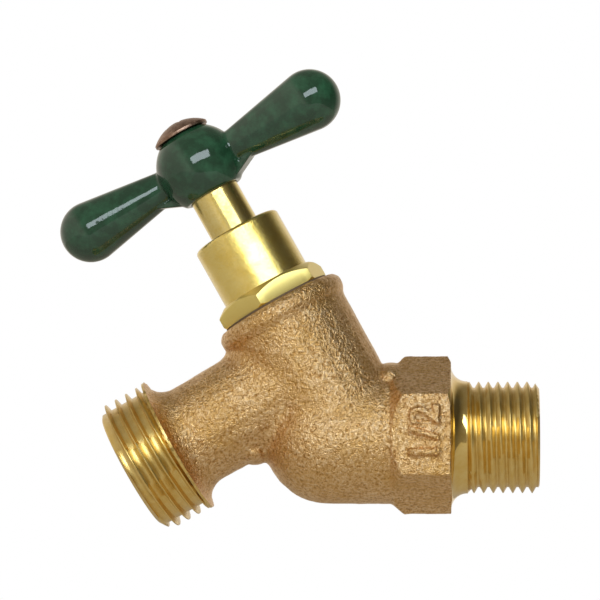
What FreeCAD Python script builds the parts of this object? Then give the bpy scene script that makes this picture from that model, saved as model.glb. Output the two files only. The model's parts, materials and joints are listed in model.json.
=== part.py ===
import FreeCAD, Part
import math
import os
import re
import Sketcher
from FreeCAD import Placement, Rotation, Vector

# Hose bibb with a tee handle: a cast body, a screwed bonnet and a rising stem.
# Row frame: millimetres, origin at the centre of the inlet's end face, +X out of the inlet
# towards the pipe, +Z up, and Y across. The stem leans back from the inlet by stem_tilt, and the
# spout is square to the stem. Both start from the crossing of the stem's axis with the inlet's.
# Heights on the stem and reaches on the spout and the inlet are counted from that crossing.

doc = FreeCAD.newDocument("hose_bibb")
sheet = doc.addObject("Spreadsheet::Sheet", "Sizes")

SIZES = {
    # Frame of the body
    "stem_tilt": 29.4,  # lean of the stem from upright, degrees
    "inlet_reach": 35.2,  # stem crossing to the inlet's end face
    "spout_height": 14.95,  # crossing to the spout's axis, along the stem
    "outlet_reach": 39.4,  # stem axis to the outlet's end face
    # Cast outside of the body
    "run_radius": 12.5,  # horizontal run and its domed end
    "dome_back": 4.2,  # crossing to the dome's centre
    "neck_foot": 3.0,  # height at which the neck starts inside the run
    "neck_foot_radius": 11.7,  # neck where it leaves the run
    "neck_radius": 12.1,  # neck under its rim
    "neck_over_spout": 3.45,  # neck's top face above the top of the spout's foot
    "rim_radius": 12.85,  # rolled rim of the neck
    "rim_depth": 4.1,  # height of that rim with its slope
    "rim_slope": 1.6,  # height of the slope under the rim
    "rim_round": 1.5,  # rounding of the rim's top edge
    "spout_foot_radius": 10.3,  # spout where it leaves the neck
    "waist_radius": 9.7,  # spout at its waist
    "waist_reach": 24.0,  # stem axis to that waist
    "collar_radius": 13.45,  # collar behind the hose thread
    "collar_reach": 29.7,  # stem axis to the collar's face
    "collar_width": 0.4,  # straight edge of the collar
    "collar_flare": 4.1,  # length of the flare up to the collar
    "flare_sweep": 4.2,  # radius of the flare's hollow side
    "cast_fillet": 2.6,  # fillets where the cast shapes meet
    # Wrench hexagon and shoulder on the inlet
    "hexagon_flats": 25.8,  # across the flats
    "hexagon_start": 9.9,  # crossing to the full hexagon
    "hexagon_end": 18.7,  # crossing to its turned shoulder
    "hexagon_run_in": 2.4,  # length of the cast slope up to it
    "shoulder_radius": 13.9,  # turned face at the hexagon's end
    "corner_chamfer": 0.7,  # length of the turned chamfer on its corners
    "relief_sweep": 3.0,  # hollow between shoulder and pipe thread
    "relief_step": 0.1,  # hollow's small end above the thread's crests
    # Pipe thread of the inlet, half inch, parallel
    "pipe_major_radius": 10.45,  # over the crests
    "pipe_depth": 1.1,  # crest to root
    "pipe_pitch": 1.814,  # fourteen turns per inch
    "pipe_lead_in": 2.35,  # how far before the hollow's end the ridge starts
    "pipe_crest": 0.18,  # width of the crest
    "pipe_chamfer": 0.9,  # length of the chamfer at the end
    "pipe_chamfer_rise": 1.3,  # how much that chamfer takes off the radius
    # Hose thread of the outlet, three quarter inch
    "hose_major_radius": 13.3,  # over the crests
    "hose_depth": 1.4,  # crest to root
    "hose_pitch": 2.209,  # eleven and a half turns per inch
    "hose_start": 135.0,  # where the ridge leaves the collar, degrees round the spout
    "hose_crest": 0.2,  # width of the crest
    "hose_flank": 16.0,  # slope of its flank, degrees, steep beside wide flat roots
    "hose_chamfer": 1.4,  # length of the chamfer at the end
    "hose_chamfer_rise": 2.0,  # how much that chamfer takes off the radius
    # Waterways and seat
    "inlet_bore_radius": 6.5,  # bore from the inlet to below the seat
    "spout_bore_radius": 6.2,  # bore of the spout as far as its flare
    "outlet_bore_radius": 8.6,  # wider bore inside the hose thread
    "outlet_bore_depth": 7.0,  # depth of that wider bore
    "bore_slope": 4.0,  # slope between the two bores
    "seat_height": 8.6,  # crossing to the seat's face
    "seat_lip": 1.0,  # how far the seat stands above the floor
    "seat_bore_radius": 4.9,  # hole through the seat
    "seat_land": 1.2,  # width of the seat's face
    "chamber_radius": 8.6,  # chamber above the seat
    "bore_over": 1.0,  # how far the drills run past a face
    # Thread forms
    "thread_flank": 30.0,  # slope of a fastening thread's flank, degrees
    "screw_flank": 14.5,  # slope of the stem thread's flank, degrees
    "ridge_sink": 0.05,  # how deep a ridge is rooted in its core
    # Thread between neck and bonnet
    "neck_thread_radius": 9.55,  # over the bonnet's crests
    "neck_thread_depth": 0.8,  # crest to root
    "neck_thread_pitch": 1.5875,  # sixteen turns per inch
    "neck_thread_crest": 0.25,  # width of the crest
    "neck_thread_gap": 0.1,  # clearance between the two threads
    # Bonnet and its seals
    "gasket_thickness": 0.5,  # flat ring under the bonnet's hexagon
    "gasket_radius": 10.7,  # outside of that ring
    "gasket_fit": 0.2,  # clearance of the ring round the bonnet's thread
    "bonnet_flats": 19.7,  # hexagon across the flats
    "bonnet_hexagon": 3.7,  # height of the hexagon
    "bonnet_chamfer": 1.5,  # length of the chamfer on its upper corners
    "bonnet_face_radius": 9.3,  # flat top inside that chamfer
    "bonnet_under_chamfer": 0.4,  # length of the chamfer on its lower corners
    "bonnet_under_radius": 10.8,  # flat underside inside that chamfer
    "bonnet_turn": 19.0,  # how far it is screwed round, degrees
    "barrel_radius": 8.7,  # barrel above the hexagon
    "barrel_height": 12.0,  # length of that barrel
    "barrel_round": 0.8,  # rounding of the barrel's top edge
    "bonnet_plug": 7.8,  # length of the bonnet inside the neck
    "bonnet_undercut": 1.4,  # plain neck under the hexagon
    "gland_height": 8.4,  # smooth seal bore at the top of the barrel
    "ring_thickness": 1.78,  # section of an O-ring
    "ring_groove_width": 2.3,  # groove that holds it
    "ring_from_top": 2.4,  # barrel's top to the upper groove's middle
    "ring_spacing": 3.6,  # between the two grooves
    "ring_fit": 0.03,  # clearance of a ring on the stem and in its groove
    # Stem and its screw thread
    "stem_radius": 4.8,  # stem through the seal bore
    "stem_fit": 0.07,  # clearance of the stem in that bore
    "stem_thread_radius": 6.3,  # over the crests
    "stem_thread_depth": 1.2,  # crest to root
    "stem_thread_crest": 0.75,  # width of the crest
    "stem_pitch": 2.54,  # rise in one turn
    "stem_thread_gap": 0.12,  # clearance of stem and bonnet threads
    "stem_thread_length": 15.0,  # threaded length of the stem
    "nut_relief": 2.2,  # plain bore below the bonnet's inner thread
    "nut_runout": 1.5,  # plain bore above that thread
    "relief_fit": 0.2,  # clearance of those plain bores on the stem's thread
    "open_turns": 2.0,  # turns from closed to the pose that is modelled
    "seat_touch": 0.05,  # gap left at the seat when it is closed
    "washer_radius": 7.2,  # rubber seat washer
    "washer_thickness": 3.2,  # its thickness
    "washer_hole_radius": 2.7,  # its hole
    "washer_fit": 0.25,  # clearance round the washer
    "washer_play": 0.05,  # clearance over and under it
    "cup_wall": 0.75,  # wall of the cup round the washer
    "cup_grip": 1.7,  # how far the cup reaches down the washer
    "cup_floor": 1.5,  # thickness of the cup above the washer
    "cup_screw_radius": 2.1,  # screw that holds the washer
    "cup_screw_head_radius": 3.7,  # its head
    "cup_screw_head": 1.6,  # height of its head
    "cup_screw_length": 10.0,  # length under the head
    "screw_gap": 0.03,  # clearance of a screw in its tapped hole
    "drill_spare": 1.0,  # tapped holes are this much deeper than the screws
    "slot_width": 1.1,  # driver slots
    "slot_depth": 0.8,  # depth of those slots
    # Handle and its screw
    "hub_height": 53.2,  # crossing to the underside of the hub, as modelled
    "hub_depth": 12.7,  # height of the hub
    "hub_ball_radius": 8.25,  # ball that the hub is cut from
    "hub_ball_height": 5.8,  # hub's underside to that ball's centre
    "arm_height": 5.9,  # hub's underside to the arms' axis
    "arm_root_radius": 3.1,  # arm where it leaves the hub
    "arm_root_reach": 7.0,  # stem axis to where the arm starts to swell
    "knob_radius": 5.88,  # round end of an arm
    "knob_reach": 24.8,  # stem axis to a knob's centre
    "web_foot": 4.7,  # stem axis to the web's lower corner
    "web_reach": 10.9,  # stem axis to the end of a web
    "web_thickness": 4.4,  # web under an arm
    "web_sink": 0.05,  # how far a web runs into its arm
    "handle_turn": -10.0,  # arms turned from the spout's plane, degrees
    "drive_flats": 7.0,  # square on the stem's end
    "drive_root": 1.0,  # how deep the square is rooted in the round stem
    "drive_corner": 4.6,  # radius over the square's turned corners
    "drive_fit": 0.05,  # clearance of the handle on that square
    "shoulder_depth": 1.2,  # how far the round stem enters the hub
    "hub_web": 2.2,  # metal between the square hole and the hub's top
    "drive_gap": 0.4,  # space above the square
    "cap_screw_radius": 2.3,  # screw that holds the handle
    "cap_screw_hole": 0.3,  # clearance of that screw in the hub
    "cap_screw_length": 11.0,  # length under the head
    "cap_screw_head_radius": 5.5,  # its head
    "cap_screw_edge": 0.5,  # height of the head's straight edge
    "cap_screw_dome": 2.2,  # rise of the head's dome
    "cross_width": 1.3,  # arms of the driver cross
    "cross_length": 5.4,  # span of that cross
    "cross_depth": 1.3,  # depth of that cross
}


def fill_sheet():
    """Write every size into the sheet, one row each, with its name beside it as the cell's alias."""
    for row, (name, size) in enumerate(SIZES.items(), 1):
        sheet.set(f"A{row}", name)
        sheet.set(f"B{row}", str(size))
        sheet.setAlias(f"B{row}", name)


fill_sheet()
doc.recompute()

WORD = re.compile(r"\b(" + "|".join(sorted(SIZES, key=len, reverse=True)) + r")\b")


def bound(text):
    """An expression on size names, as other objects have to write it."""
    return WORD.sub(r"Sizes.\1", text)


def value(text):
    """What such an expression comes to."""
    return float(sheet.evalExpression(text))


def bind(target, prop, text):
    target.setExpression(prop, bound(text))
    return target


# Places, as expressions on the sizes
NECK_TOP = "(spout_height + spout_foot_radius + neck_over_spout)"
RING_OUTER = "(stem_radius + ring_fit + ring_thickness + ring_fit)"
BONNET_FOOT = f"({NECK_TOP} + gasket_thickness - bonnet_plug)"
BONNET_SEAT = f"({NECK_TOP} + gasket_thickness)"
BARREL_FOOT = f"({NECK_TOP} + gasket_thickness + bonnet_hexagon)"
BARREL_TOP = f"({NECK_TOP} + gasket_thickness + bonnet_hexagon + barrel_height)"
GLAND_FOOT = f"({NECK_TOP} + gasket_thickness + bonnet_hexagon + barrel_height - gland_height)"
CHAMBER_FLOOR = "(seat_height - seat_lip)"
# The moving pieces count their heights from the underside of the washer.
WASHER_SEAT = "(seat_height + seat_touch + open_turns * stem_pitch)"
CUP_INSIDE = "(washer_thickness + washer_play)"
CUP_TOP = "(washer_thickness + washer_play + cup_floor)"
CUP_RADIUS = "(washer_radius + washer_fit + cup_wall)"
HUB_FOOT = f"(hub_height - {WASHER_SEAT})"
DRIVE_FOOT = f"({HUB_FOOT} + shoulder_depth)"
HUB_TOP = f"({HUB_FOOT} + hub_depth)"
DRIVE_TOP = f"({HUB_TOP} - hub_web - drive_gap)"
RINGS = [
    ("upper", f"({BARREL_TOP} - ring_from_top)"),
    ("lower", f"({BARREL_TOP} - ring_from_top - ring_spacing)"),
]
PIPE_ROOT = "(pipe_major_radius - pipe_depth)"
PIPE_END = "(pipe_major_radius - pipe_chamfer_rise)"
HOSE_ROOT = "(hose_major_radius - hose_depth)"
HOSE_END = "(hose_major_radius - hose_chamfer_rise)"
STEM_THREAD_ROOT = "(stem_thread_radius - stem_thread_depth)"
ARM_LENGTH = "(knob_reach - arm_root_reach)"
# The arm is a cone whose side just touches the ball at its end.
ARM_SLOPE = (f"(asin(knob_radius / sqrt({ARM_LENGTH} ^ 2 + arm_root_radius ^ 2))"
             f" - atan(arm_root_radius / {ARM_LENGTH}))")


def outline(name, points):
    """A closed sketch in the XZ plane. Each point is (x, z) as expressions, and a third entry makes the
    stretch to the next point an arc: (radius, +1 where its centre lies to the left, -1 to the right)."""
    sketch = doc.addObject("Sketcher::SketchObject", name)
    sketch.Placement = Placement(Vector(0, 0, 0), Rotation(Vector(1, 0, 0), 90))
    spots = [Vector(value(p[0]), value(p[1]), 0) for p in points]
    ends = []
    for at, point in enumerate(points):
        here = spots[at]
        there = spots[(at + 1) % len(spots)]
        if len(point) < 3:
            sketch.addGeometry(Part.LineSegment(here, there), False)
            ends.append((1, 2))
            continue
        radius = value(point[2][0])
        side = point[2][1]
        chord = there - here
        left = Vector(-chord.y, chord.x, 0).normalize()
        rise = math.sqrt(max(radius**2 - (chord.Length / 2) ** 2, 0))
        centre = (here + there) * 0.5 + left * (side * rise)
        start, stop = (here, there) if side > 0 else (there, here)
        first = math.atan2(start.y - centre.y, start.x - centre.x)
        last = math.atan2(stop.y - centre.y, stop.x - centre.x)
        circle = Part.Circle(centre, Vector(0, 0, 1), radius)
        sketch.addGeometry(Part.ArcOfCircle(circle, first, last), False)
        ends.append((1, 2) if side > 0 else (2, 1))
    for at, point in enumerate(points):
        before = (at - 1) % len(points)
        sketch.addConstraint(Sketcher.Constraint("Coincident", before, ends[before][1], at, ends[at][0]))
        for axis, kind, text in ((-2, "DistanceX", point[0]), (-1, "DistanceY", point[1])):
            if text == "0":
                sketch.addConstraint(Sketcher.Constraint("PointOnObject", at, ends[at][0], axis))
                continue
            rule = Sketcher.Constraint(kind, -1, 1, at, ends[at][0], value(text))
            bind(sketch, f"Constraints[{sketch.addConstraint(rule)}]", text)
        if len(point) > 2:
            rule = Sketcher.Constraint("Radius", at, value(point[2][0]))
            bind(sketch, f"Constraints[{sketch.addConstraint(rule)}]", point[2][0])
    return sketch


def turned(name, points):
    """A shape turned about Z from a half outline."""
    solid = doc.addObject("Part::Revolution", name)
    solid.Source = outline(name + "_outline", points)
    solid.Axis = Vector(0, 0, 1)
    solid.Base = Vector(0, 0, 0)
    solid.Angle = 360
    solid.Solid = True
    return solid


def cylinder(name, radius, height, foot="0"):
    solid = doc.addObject("Part::Cylinder", name)
    bind(solid, "Radius", radius)
    bind(solid, "Height", height)
    bind(solid, "Placement.Base.z", foot)
    return solid


def box(name, length, width, height, foot):
    """A block centred on the Z axis."""
    solid = doc.addObject("Part::Box", name)
    bind(solid, "Length", length)
    bind(solid, "Width", width)
    bind(solid, "Height", height)
    bind(solid, "Placement.Base.x", f"-({length}) / 2")
    bind(solid, "Placement.Base.y", f"-({width}) / 2")
    bind(solid, "Placement.Base.z", foot)
    return solid


def hexagon(name, flats, height, foot):
    solid = doc.addObject("Part::Prism", name)
    solid.Polygon = 6
    bind(solid, "Circumradius", f"{flats} / 2 / cos(30 deg)")
    bind(solid, "Height", height)
    bind(solid, "Placement.Base.z", foot)
    return solid


def fused(name, *shapes):
    solid = doc.addObject("Part::MultiFuse", name)
    solid.Shapes = list(shapes)
    return solid


def cut(name, base, tool):
    solid = doc.addObject("Part::Cut", name)
    solid.Base = base
    solid.Tool = tool
    return solid


def common(name, base, tool):
    solid = doc.addObject("Part::Common", name)
    solid.Base = base
    solid.Tool = tool
    return solid


def thread_ridge(name, lead, foot, top, root, major, crest, flank="thread_flank"):
    """The ridge of a thread: a trapezium carried round a helix. Its root is sunk below the core's
    surface, so that the two join, and foot is where the middle of the ridge starts."""
    inner = f"({root} - ridge_sink)"
    spine = doc.addObject("Part::Helix", name + "_spine")
    spine.SegmentLength = 1
    bind(spine, "Pitch", lead)
    bind(spine, "Height", f"({top}) - ({foot})")
    bind(spine, "Radius", inner)
    bind(spine, "Placement.Base.z", foot)
    half = f"({crest} / 2 + ({major} - {inner}) * tan({flank} * 1 deg))"
    profile = outline(name + "_profile", [
        (inner, "0"),
        (major, f"{half} - ({crest}) / 2"),
        (major, f"{half} + ({crest}) / 2"),
        (inner, f"2 * {half}"),
    ])
    bind(profile, "Placement.Base.z", f"{foot} - {half}")
    ridge = doc.addObject("Part::Sweep", name)
    ridge.Sections = [profile]
    ridge.Spine = (spine, [])
    ridge.Solid = True
    ridge.Frenet = True
    return ridge


def lay_along_inlet(solid):
    """Turn Z to +X and put the start at the crossing of the axes."""
    solid.Placement.Rotation = Rotation(Vector(0, 1, 0), 90)
    bind(solid, "Placement.Base.x", "-inlet_reach")
    return solid


def lay_along_spout(solid):
    """Turn Z to the spout's axis, and start on the stem's axis."""
    solid.Placement.Rotation = Rotation(Vector(0, 1, 0), -90)
    bind(solid, "Placement.Rotation.Angle", "90 + stem_tilt")
    solid.Placement.Rotation.Axis = Vector(0, -1, 0)
    bind(solid, "Placement.Base.x", "-inlet_reach - spout_height * sin(stem_tilt * 1 deg)")
    bind(solid, "Placement.Base.z", "spout_height * cos(stem_tilt * 1 deg)")
    return solid


def stand_on_stem(solid, height="0"):
    """Lean Z back to the stem's axis, and start at this height above the crossing."""
    solid.Placement.Rotation = Rotation(Vector(0, -1, 0), 30)
    bind(solid, "Placement.Rotation.Angle", "stem_tilt")
    bind(solid, "Placement.Base.x", f"-inlet_reach - ({height}) * sin(stem_tilt * 1 deg)")
    bind(solid, "Placement.Base.z", f"({height}) * cos(stem_tilt * 1 deg)")
    return solid


def turn_about_z(solid, angle):
    solid.Placement.Rotation = Rotation(Vector(0, 0, 1), 30)
    bind(solid, "Placement.Rotation.Angle", angle)
    return solid


def cast_blank():
    """The run with its domed end, the neck and the spout, as one casting with fillets."""
    run = turned("run", [
        ("0", "0", ("run_radius", 1)),
        ("run_radius", "run_radius"),
        ("run_radius", "run_radius + dome_back + hexagon_start"),
        ("0", "run_radius + dome_back + hexagon_start"),
    ])
    run.Placement.Rotation = Rotation(Vector(0, 1, 0), 90)
    bind(run, "Placement.Base.x", "-inlet_reach - dome_back - run_radius")
    neck = stand_on_stem(turned("neck", [
        ("0", "neck_foot"),
        ("neck_foot_radius", "neck_foot"),
        ("neck_radius", f"{NECK_TOP} - rim_depth"),
        ("neck_radius", NECK_TOP),
        ("0", NECK_TOP),
    ]))
    rim = stand_on_stem(turned("rim", [
        ("chamber_radius", f"{NECK_TOP} - rim_depth"),
        ("neck_radius", f"{NECK_TOP} - rim_depth"),
        ("rim_radius", f"{NECK_TOP} - rim_depth + rim_slope"),
        ("rim_radius", f"{NECK_TOP} - rim_round", ("rim_round", 1)),
        ("rim_radius - rim_round", NECK_TOP),
        ("chamber_radius", NECK_TOP),
    ]))
    spout = lay_along_spout(turned("spout", [
        ("0", "0"),
        ("spout_foot_radius", "0"),
        ("waist_radius", "waist_reach"),
        ("waist_radius", "collar_reach - collar_width - collar_flare", ("flare_sweep", -1)),
        ("collar_radius", "collar_reach - collar_width"),
        ("collar_radius", "collar_reach"),
        ("0", "collar_reach"),
    ]))
    sharp = fused("casting_sharp", run, neck, spout)
    doc.recompute()
    return rounded("casting", sharp, meeting_edges(sharp.Shape), value("cast_fillet")), rim


def meeting_edges(shape):
    """The edges where two of the cast shapes cross: neither circles nor straight seams."""
    found = []
    for number, edge in enumerate(shape.Edges, 1):
        if edge.Curve.TypeId not in ("Part::GeomCircle", "Part::GeomLine"):
            found.append(number)
    return found


def rounded(name, base, numbers, radius):
    solid = doc.addObject("Part::Fillet", name)
    solid.Base = base
    solid.Edges = [(number, radius, radius) for number in numbers]
    return solid


def inlet_end():
    """The wrench hexagon, its turned shoulder and hollow, and the threaded shank."""
    corner = "(hexagon_flats / 2 / cos(30 deg))"
    thread_start = "(hexagon_end + relief_sweep)"
    blank = turned("inlet_blank", [
        ("0", "hexagon_start - hexagon_run_in"),
        ("run_radius", "hexagon_start - hexagon_run_in"),
        (corner, "hexagon_start"),
        (corner, "hexagon_end - corner_chamfer"),
        ("shoulder_radius", "hexagon_end"),
        ("pipe_major_radius + relief_step + relief_sweep", "hexagon_end", ("relief_sweep", -1)),
        ("pipe_major_radius + relief_step", thread_start),
        (f"{PIPE_ROOT} - pipe_depth", f"{thread_start} + 2 * pipe_depth"),
        ("0", f"{thread_start} + 2 * pipe_depth"),
    ])
    bar = hexagon("inlet_bar", "hexagon_flats", "inlet_reach", "0")
    shank = common("inlet_shank", blank, bar)
    ridge = thread_ridge("pipe_ridge", "pipe_pitch", f"{thread_start} - pipe_lead_in",
                         "inlet_reach + pipe_pitch", PIPE_ROOT, "pipe_major_radius", "pipe_crest")
    core = cylinder("pipe_core", PIPE_ROOT, f"inlet_reach - {thread_start} + 4 * pipe_pitch",
                    f"{thread_start} - pipe_pitch")
    facing = chamfer_tool("pipe_facing", "inlet_reach", "pipe_pitch", "pipe_major_radius",
                          PIPE_END, "pipe_chamfer")
    return [lay_along_inlet(piece) for piece in (fused("inlet_end", shank, core), ridge, facing)]


def chamfer_tool(name, reach, lead, major, end_radius, chamfer):
    """What a lathe takes off the end of a screw: all that lies past the end face and its chamfer."""
    return turned(name, [
        (end_radius, reach),
        (f"{major} + {lead}", f"{reach} - {chamfer} * ({major} + {lead} - {end_radius})"
         f" / ({major} - {end_radius})"),
        (f"{major} + {lead}", f"{reach} + 4 * {lead}"),
        ("0", f"{reach} + 4 * {lead}"),
        ("0", reach),
    ])


def outlet_end():
    """The threaded end that a garden hose is screwed to."""
    ridge = thread_ridge("hose_ridge", "hose_pitch", "collar_reach", "outlet_reach + hose_pitch",
                         HOSE_ROOT, "hose_major_radius", "hose_crest", "hose_flank")
    core = turned("hose_core", [
        ("0", "collar_reach - collar_width / 2"),
        (HOSE_ROOT, "collar_reach - collar_width / 2"),
        (HOSE_ROOT, "outlet_reach + 3 * hose_pitch"),
        ("0", "outlet_reach + 3 * hose_pitch"),
    ])
    facing = chamfer_tool("hose_facing", "outlet_reach", "hose_pitch", "hose_major_radius",
                          HOSE_END, "hose_chamfer")
    threaded = fused("outlet_end", core, turn_about_z(ridge, "hose_start"))
    return [lay_along_spout(piece) for piece in (threaded, facing)]


def waterways():
    """All the space inside the casting, and the thread that takes the bonnet."""
    inlet_bore = lay_along_inlet(cylinder("inlet_bore", "inlet_bore_radius", "inlet_reach + bore_over"))
    turn = doc.addObject("Part::Sphere", "inlet_bore_end")
    bind(turn, "Radius", "inlet_bore_radius")
    bind(turn, "Placement.Base.x", "-inlet_reach")
    seat_bore = stand_on_stem(cylinder("seat_bore", "seat_bore_radius", "seat_height + bore_over"))
    neck_bore = "(neck_thread_radius - neck_thread_depth + neck_thread_gap)"
    chamber = stand_on_stem(turned("chamber", [
        ("0", "seat_height"),
        ("seat_bore_radius + seat_land", "seat_height"),
        ("seat_bore_radius + seat_land + seat_lip / 2", CHAMBER_FLOOR),
        ("chamber_radius", CHAMBER_FLOOR),
        ("chamber_radius", f"{BONNET_FOOT} - neck_thread_pitch"),
        (neck_bore, f"{BONNET_FOOT} - neck_thread_pitch"),
        (neck_bore, f"{NECK_TOP} + bore_over"),
        ("0", f"{NECK_TOP} + bore_over"),
    ]))
    groove = stand_on_stem(thread_ridge(
        "neck_groove", "neck_thread_pitch", f"{BONNET_FOOT} - neck_thread_pitch",
        f"{NECK_TOP} + neck_thread_pitch", neck_bore, "neck_thread_radius + neck_thread_gap",
        "neck_thread_crest + neck_thread_gap"))
    spout_bore = lay_along_spout(turned("spout_bore", [
        ("0", "0"),
        ("spout_bore_radius", "0"),
        ("spout_bore_radius", "outlet_reach - outlet_bore_depth - bore_slope"),
        ("outlet_bore_radius", "outlet_reach - outlet_bore_depth"),
        ("outlet_bore_radius", "outlet_reach + bore_over"),
        ("0", "outlet_reach + bore_over"),
    ]))
    return fused("waterways", inlet_bore, turn, seat_bore, chamber, spout_bore), groove


def make_valve_body():
    """The casting with both threaded ends, then everything that is drilled and turned out of it."""
    casting, rim = cast_blank()
    inlet, inlet_ridge, inlet_facing = inlet_end()
    outlet, outlet_facing = outlet_end()
    plain = fused("body_plain", casting, rim, inlet)
    threaded = fused("body_threaded", plain, inlet_ridge, outlet)
    space, groove = waterways()
    faced = cut("body_faced", threaded, fused("facings", inlet_facing, outlet_facing))
    return cut("valve_body", cut("body_hollow", faced, space), groove)


def make_bonnet():
    """Hexagon, barrel and threaded plug in one, bored for the stem, its thread and two O-rings."""
    plug_root = "(neck_thread_radius - neck_thread_depth)"
    blank = turned("bonnet_blank", [
        ("0", BONNET_FOOT),
        (f"{plug_root} - neck_thread_depth / 2", BONNET_FOOT),
        (plug_root, f"{BONNET_FOOT} + neck_thread_depth"),
        (plug_root, f"{BONNET_SEAT} + bonnet_hexagon / 2"),
        ("barrel_radius", f"{BONNET_SEAT} + bonnet_hexagon / 2"),
        ("barrel_radius", f"{BARREL_TOP} - barrel_round", ("barrel_round", 1)),
        ("barrel_radius - barrel_round", BARREL_TOP),
        ("0", BARREL_TOP),
    ])
    corner = "(bonnet_flats / 2 / cos(30 deg))"
    bar = turn_about_z(hexagon("bonnet_bar", "bonnet_flats", "bonnet_hexagon", BONNET_SEAT), "bonnet_turn")
    shape = turned("bonnet_corners", [
        ("0", BONNET_SEAT),
        ("bonnet_under_radius", BONNET_SEAT),
        (corner, f"{BONNET_SEAT} + bonnet_under_chamfer"),
        (corner, f"{BARREL_FOOT} - bonnet_chamfer"),
        ("bonnet_face_radius", BARREL_FOOT),
        ("0", BARREL_FOOT),
    ])
    ridge = thread_ridge("bonnet_ridge", "neck_thread_pitch", f"{BONNET_FOOT} + neck_thread_pitch",
                         f"{BONNET_SEAT} - bonnet_undercut", plug_root, "neck_thread_radius",
                         "neck_thread_crest")
    outside = fused("bonnet_outside", blank, common("bonnet_hex", bar, shape), ridge)
    nut_foot = f"({BONNET_FOOT} + nut_relief)"
    nut_top = f"({GLAND_FOOT} - nut_runout)"
    relief = "(stem_thread_radius + relief_fit)"
    minor = f"({STEM_THREAD_ROOT} + stem_thread_gap)"
    bore = turned("bonnet_bore", [
        ("0", f"{BONNET_FOOT} - bore_over"),
        (relief, f"{BONNET_FOOT} - bore_over"),
        (relief, nut_foot),
        (minor, nut_foot),
        (minor, nut_top),
        (relief, nut_top),
        (relief, GLAND_FOOT),
        ("stem_radius + stem_fit", GLAND_FOOT),
        ("stem_radius + stem_fit", f"{BARREL_TOP} + bore_over"),
        ("0", f"{BARREL_TOP} + bore_over"),
    ])
    # The two threads share one helix, so whole turns lie between the starts of their ridges. The groove
    # starts a turn below the nut, so that it is at its full depth where the nut begins.
    start = f"({WASHER_SEAT} + {CUP_TOP})"
    first = f"({start} + stem_pitch * (floor(({nut_foot} - {start}) / stem_pitch) - 1))"
    groove = thread_ridge("nut_groove", "stem_pitch", first, f"{nut_top} + stem_pitch / 2", minor,
                          "stem_thread_radius + stem_thread_gap",
                          "stem_thread_crest + 2 * stem_thread_gap", "screw_flank")
    grooves = [cylinder(f"ring_groove_{name}", RING_OUTER, "ring_groove_width",
                        f"{height} - ring_groove_width / 2") for name, height in RINGS]
    hollow = fused("bonnet_hollow", bore, *grooves)
    return stand_on_stem(cut("bonnet", cut("bonnet_bored", outside, hollow), groove))


def make_bonnet_gasket():
    ring = turned("bonnet_gasket", [
        ("neck_thread_radius + gasket_fit", "0"),
        ("gasket_radius", "0"),
        ("gasket_radius", "gasket_thickness"),
        ("neck_thread_radius + gasket_fit", "gasket_thickness"),
    ])
    return stand_on_stem(ring, NECK_TOP)


def make_stem_ring(name, height):
    ring = doc.addObject("Part::Torus", name)
    bind(ring, "Radius1", "stem_radius + ring_fit + ring_thickness / 2")
    bind(ring, "Radius2", "ring_thickness / 2")
    return stand_on_stem(ring, height)


def make_stem():
    """Washer cup, screw thread, smooth shank and square end. Heights start at the washer's underside."""
    thread_top = f"({CUP_TOP} + stem_thread_length)"
    blank = turned("stem_blank", [
        ("0", CUP_INSIDE),
        ("washer_radius + washer_fit", CUP_INSIDE),
        ("washer_radius + washer_fit", "washer_thickness - cup_grip"),
        (CUP_RADIUS, "washer_thickness - cup_grip"),
        (CUP_RADIUS, CUP_TOP),
        (STEM_THREAD_ROOT, CUP_TOP),
        (STEM_THREAD_ROOT, thread_top),
        ("stem_radius", f"{thread_top} + ({STEM_THREAD_ROOT} - stem_radius)"),
        ("stem_radius", DRIVE_FOOT),
        ("0", DRIVE_FOOT),
    ])
    ridge = thread_ridge("stem_ridge", "stem_pitch", CUP_TOP, f"{thread_top} - stem_pitch / 2",
                         STEM_THREAD_ROOT, "stem_thread_radius", "stem_thread_crest", "screw_flank")
    square = box("drive_square", "drive_flats", "drive_flats",
                 f"{DRIVE_TOP} - {DRIVE_FOOT} + drive_root", f"{DRIVE_FOOT} - drive_root")
    corners = cylinder("drive_corners", "drive_corner", f"{DRIVE_TOP} - {DRIVE_FOOT} + drive_root",
                       f"{DRIVE_FOOT} - drive_root")
    drive = turn_about_z(common("stem_drive", square, corners), "handle_turn")
    outside = fused("stem_outside", blank, ridge, drive)
    cup_hole = cylinder("cup_screw_hole", "cup_screw_radius + screw_gap",
                        "cup_screw_length + drill_spare", "0")
    cap_hole = cylinder("cap_screw_hole_in_stem", "cap_screw_radius + screw_gap",
                        f"{DRIVE_TOP} - {HUB_TOP} + cap_screw_length + drill_spare + bore_over",
                        f"{HUB_TOP} - cap_screw_length - drill_spare")
    return stand_on_stem(cut("stem", outside, fused("stem_holes", cup_hole, cap_hole)), WASHER_SEAT)


def make_seat_washer():
    ring = turned("seat_washer", [
        ("washer_hole_radius", "0"),
        ("washer_radius", "0"),
        ("washer_radius", "washer_thickness"),
        ("washer_hole_radius", "washer_thickness"),
    ])
    return stand_on_stem(ring, WASHER_SEAT)


def make_washer_screw():
    """A round head under the washer, with a driver slot, and the shank that goes into the stem."""
    blank = turned("washer_screw_blank", [
        ("0", "0"),
        ("cup_screw_head_radius - cup_screw_head / 3", "0"),
        ("cup_screw_head_radius", "cup_screw_head / 3"),
        ("cup_screw_head_radius", "cup_screw_head"),
        ("cup_screw_radius", "cup_screw_head"),
        ("cup_screw_radius", "cup_screw_head + cup_screw_length"),
        ("0", "cup_screw_head + cup_screw_length"),
    ])
    slot = box("washer_screw_slot", "3 * cup_screw_head_radius", "slot_width", "slot_depth", "0")
    return stand_on_stem(cut("washer_screw", blank, slot),
                         f"{WASHER_SEAT} - washer_play - cup_screw_head")


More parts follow.
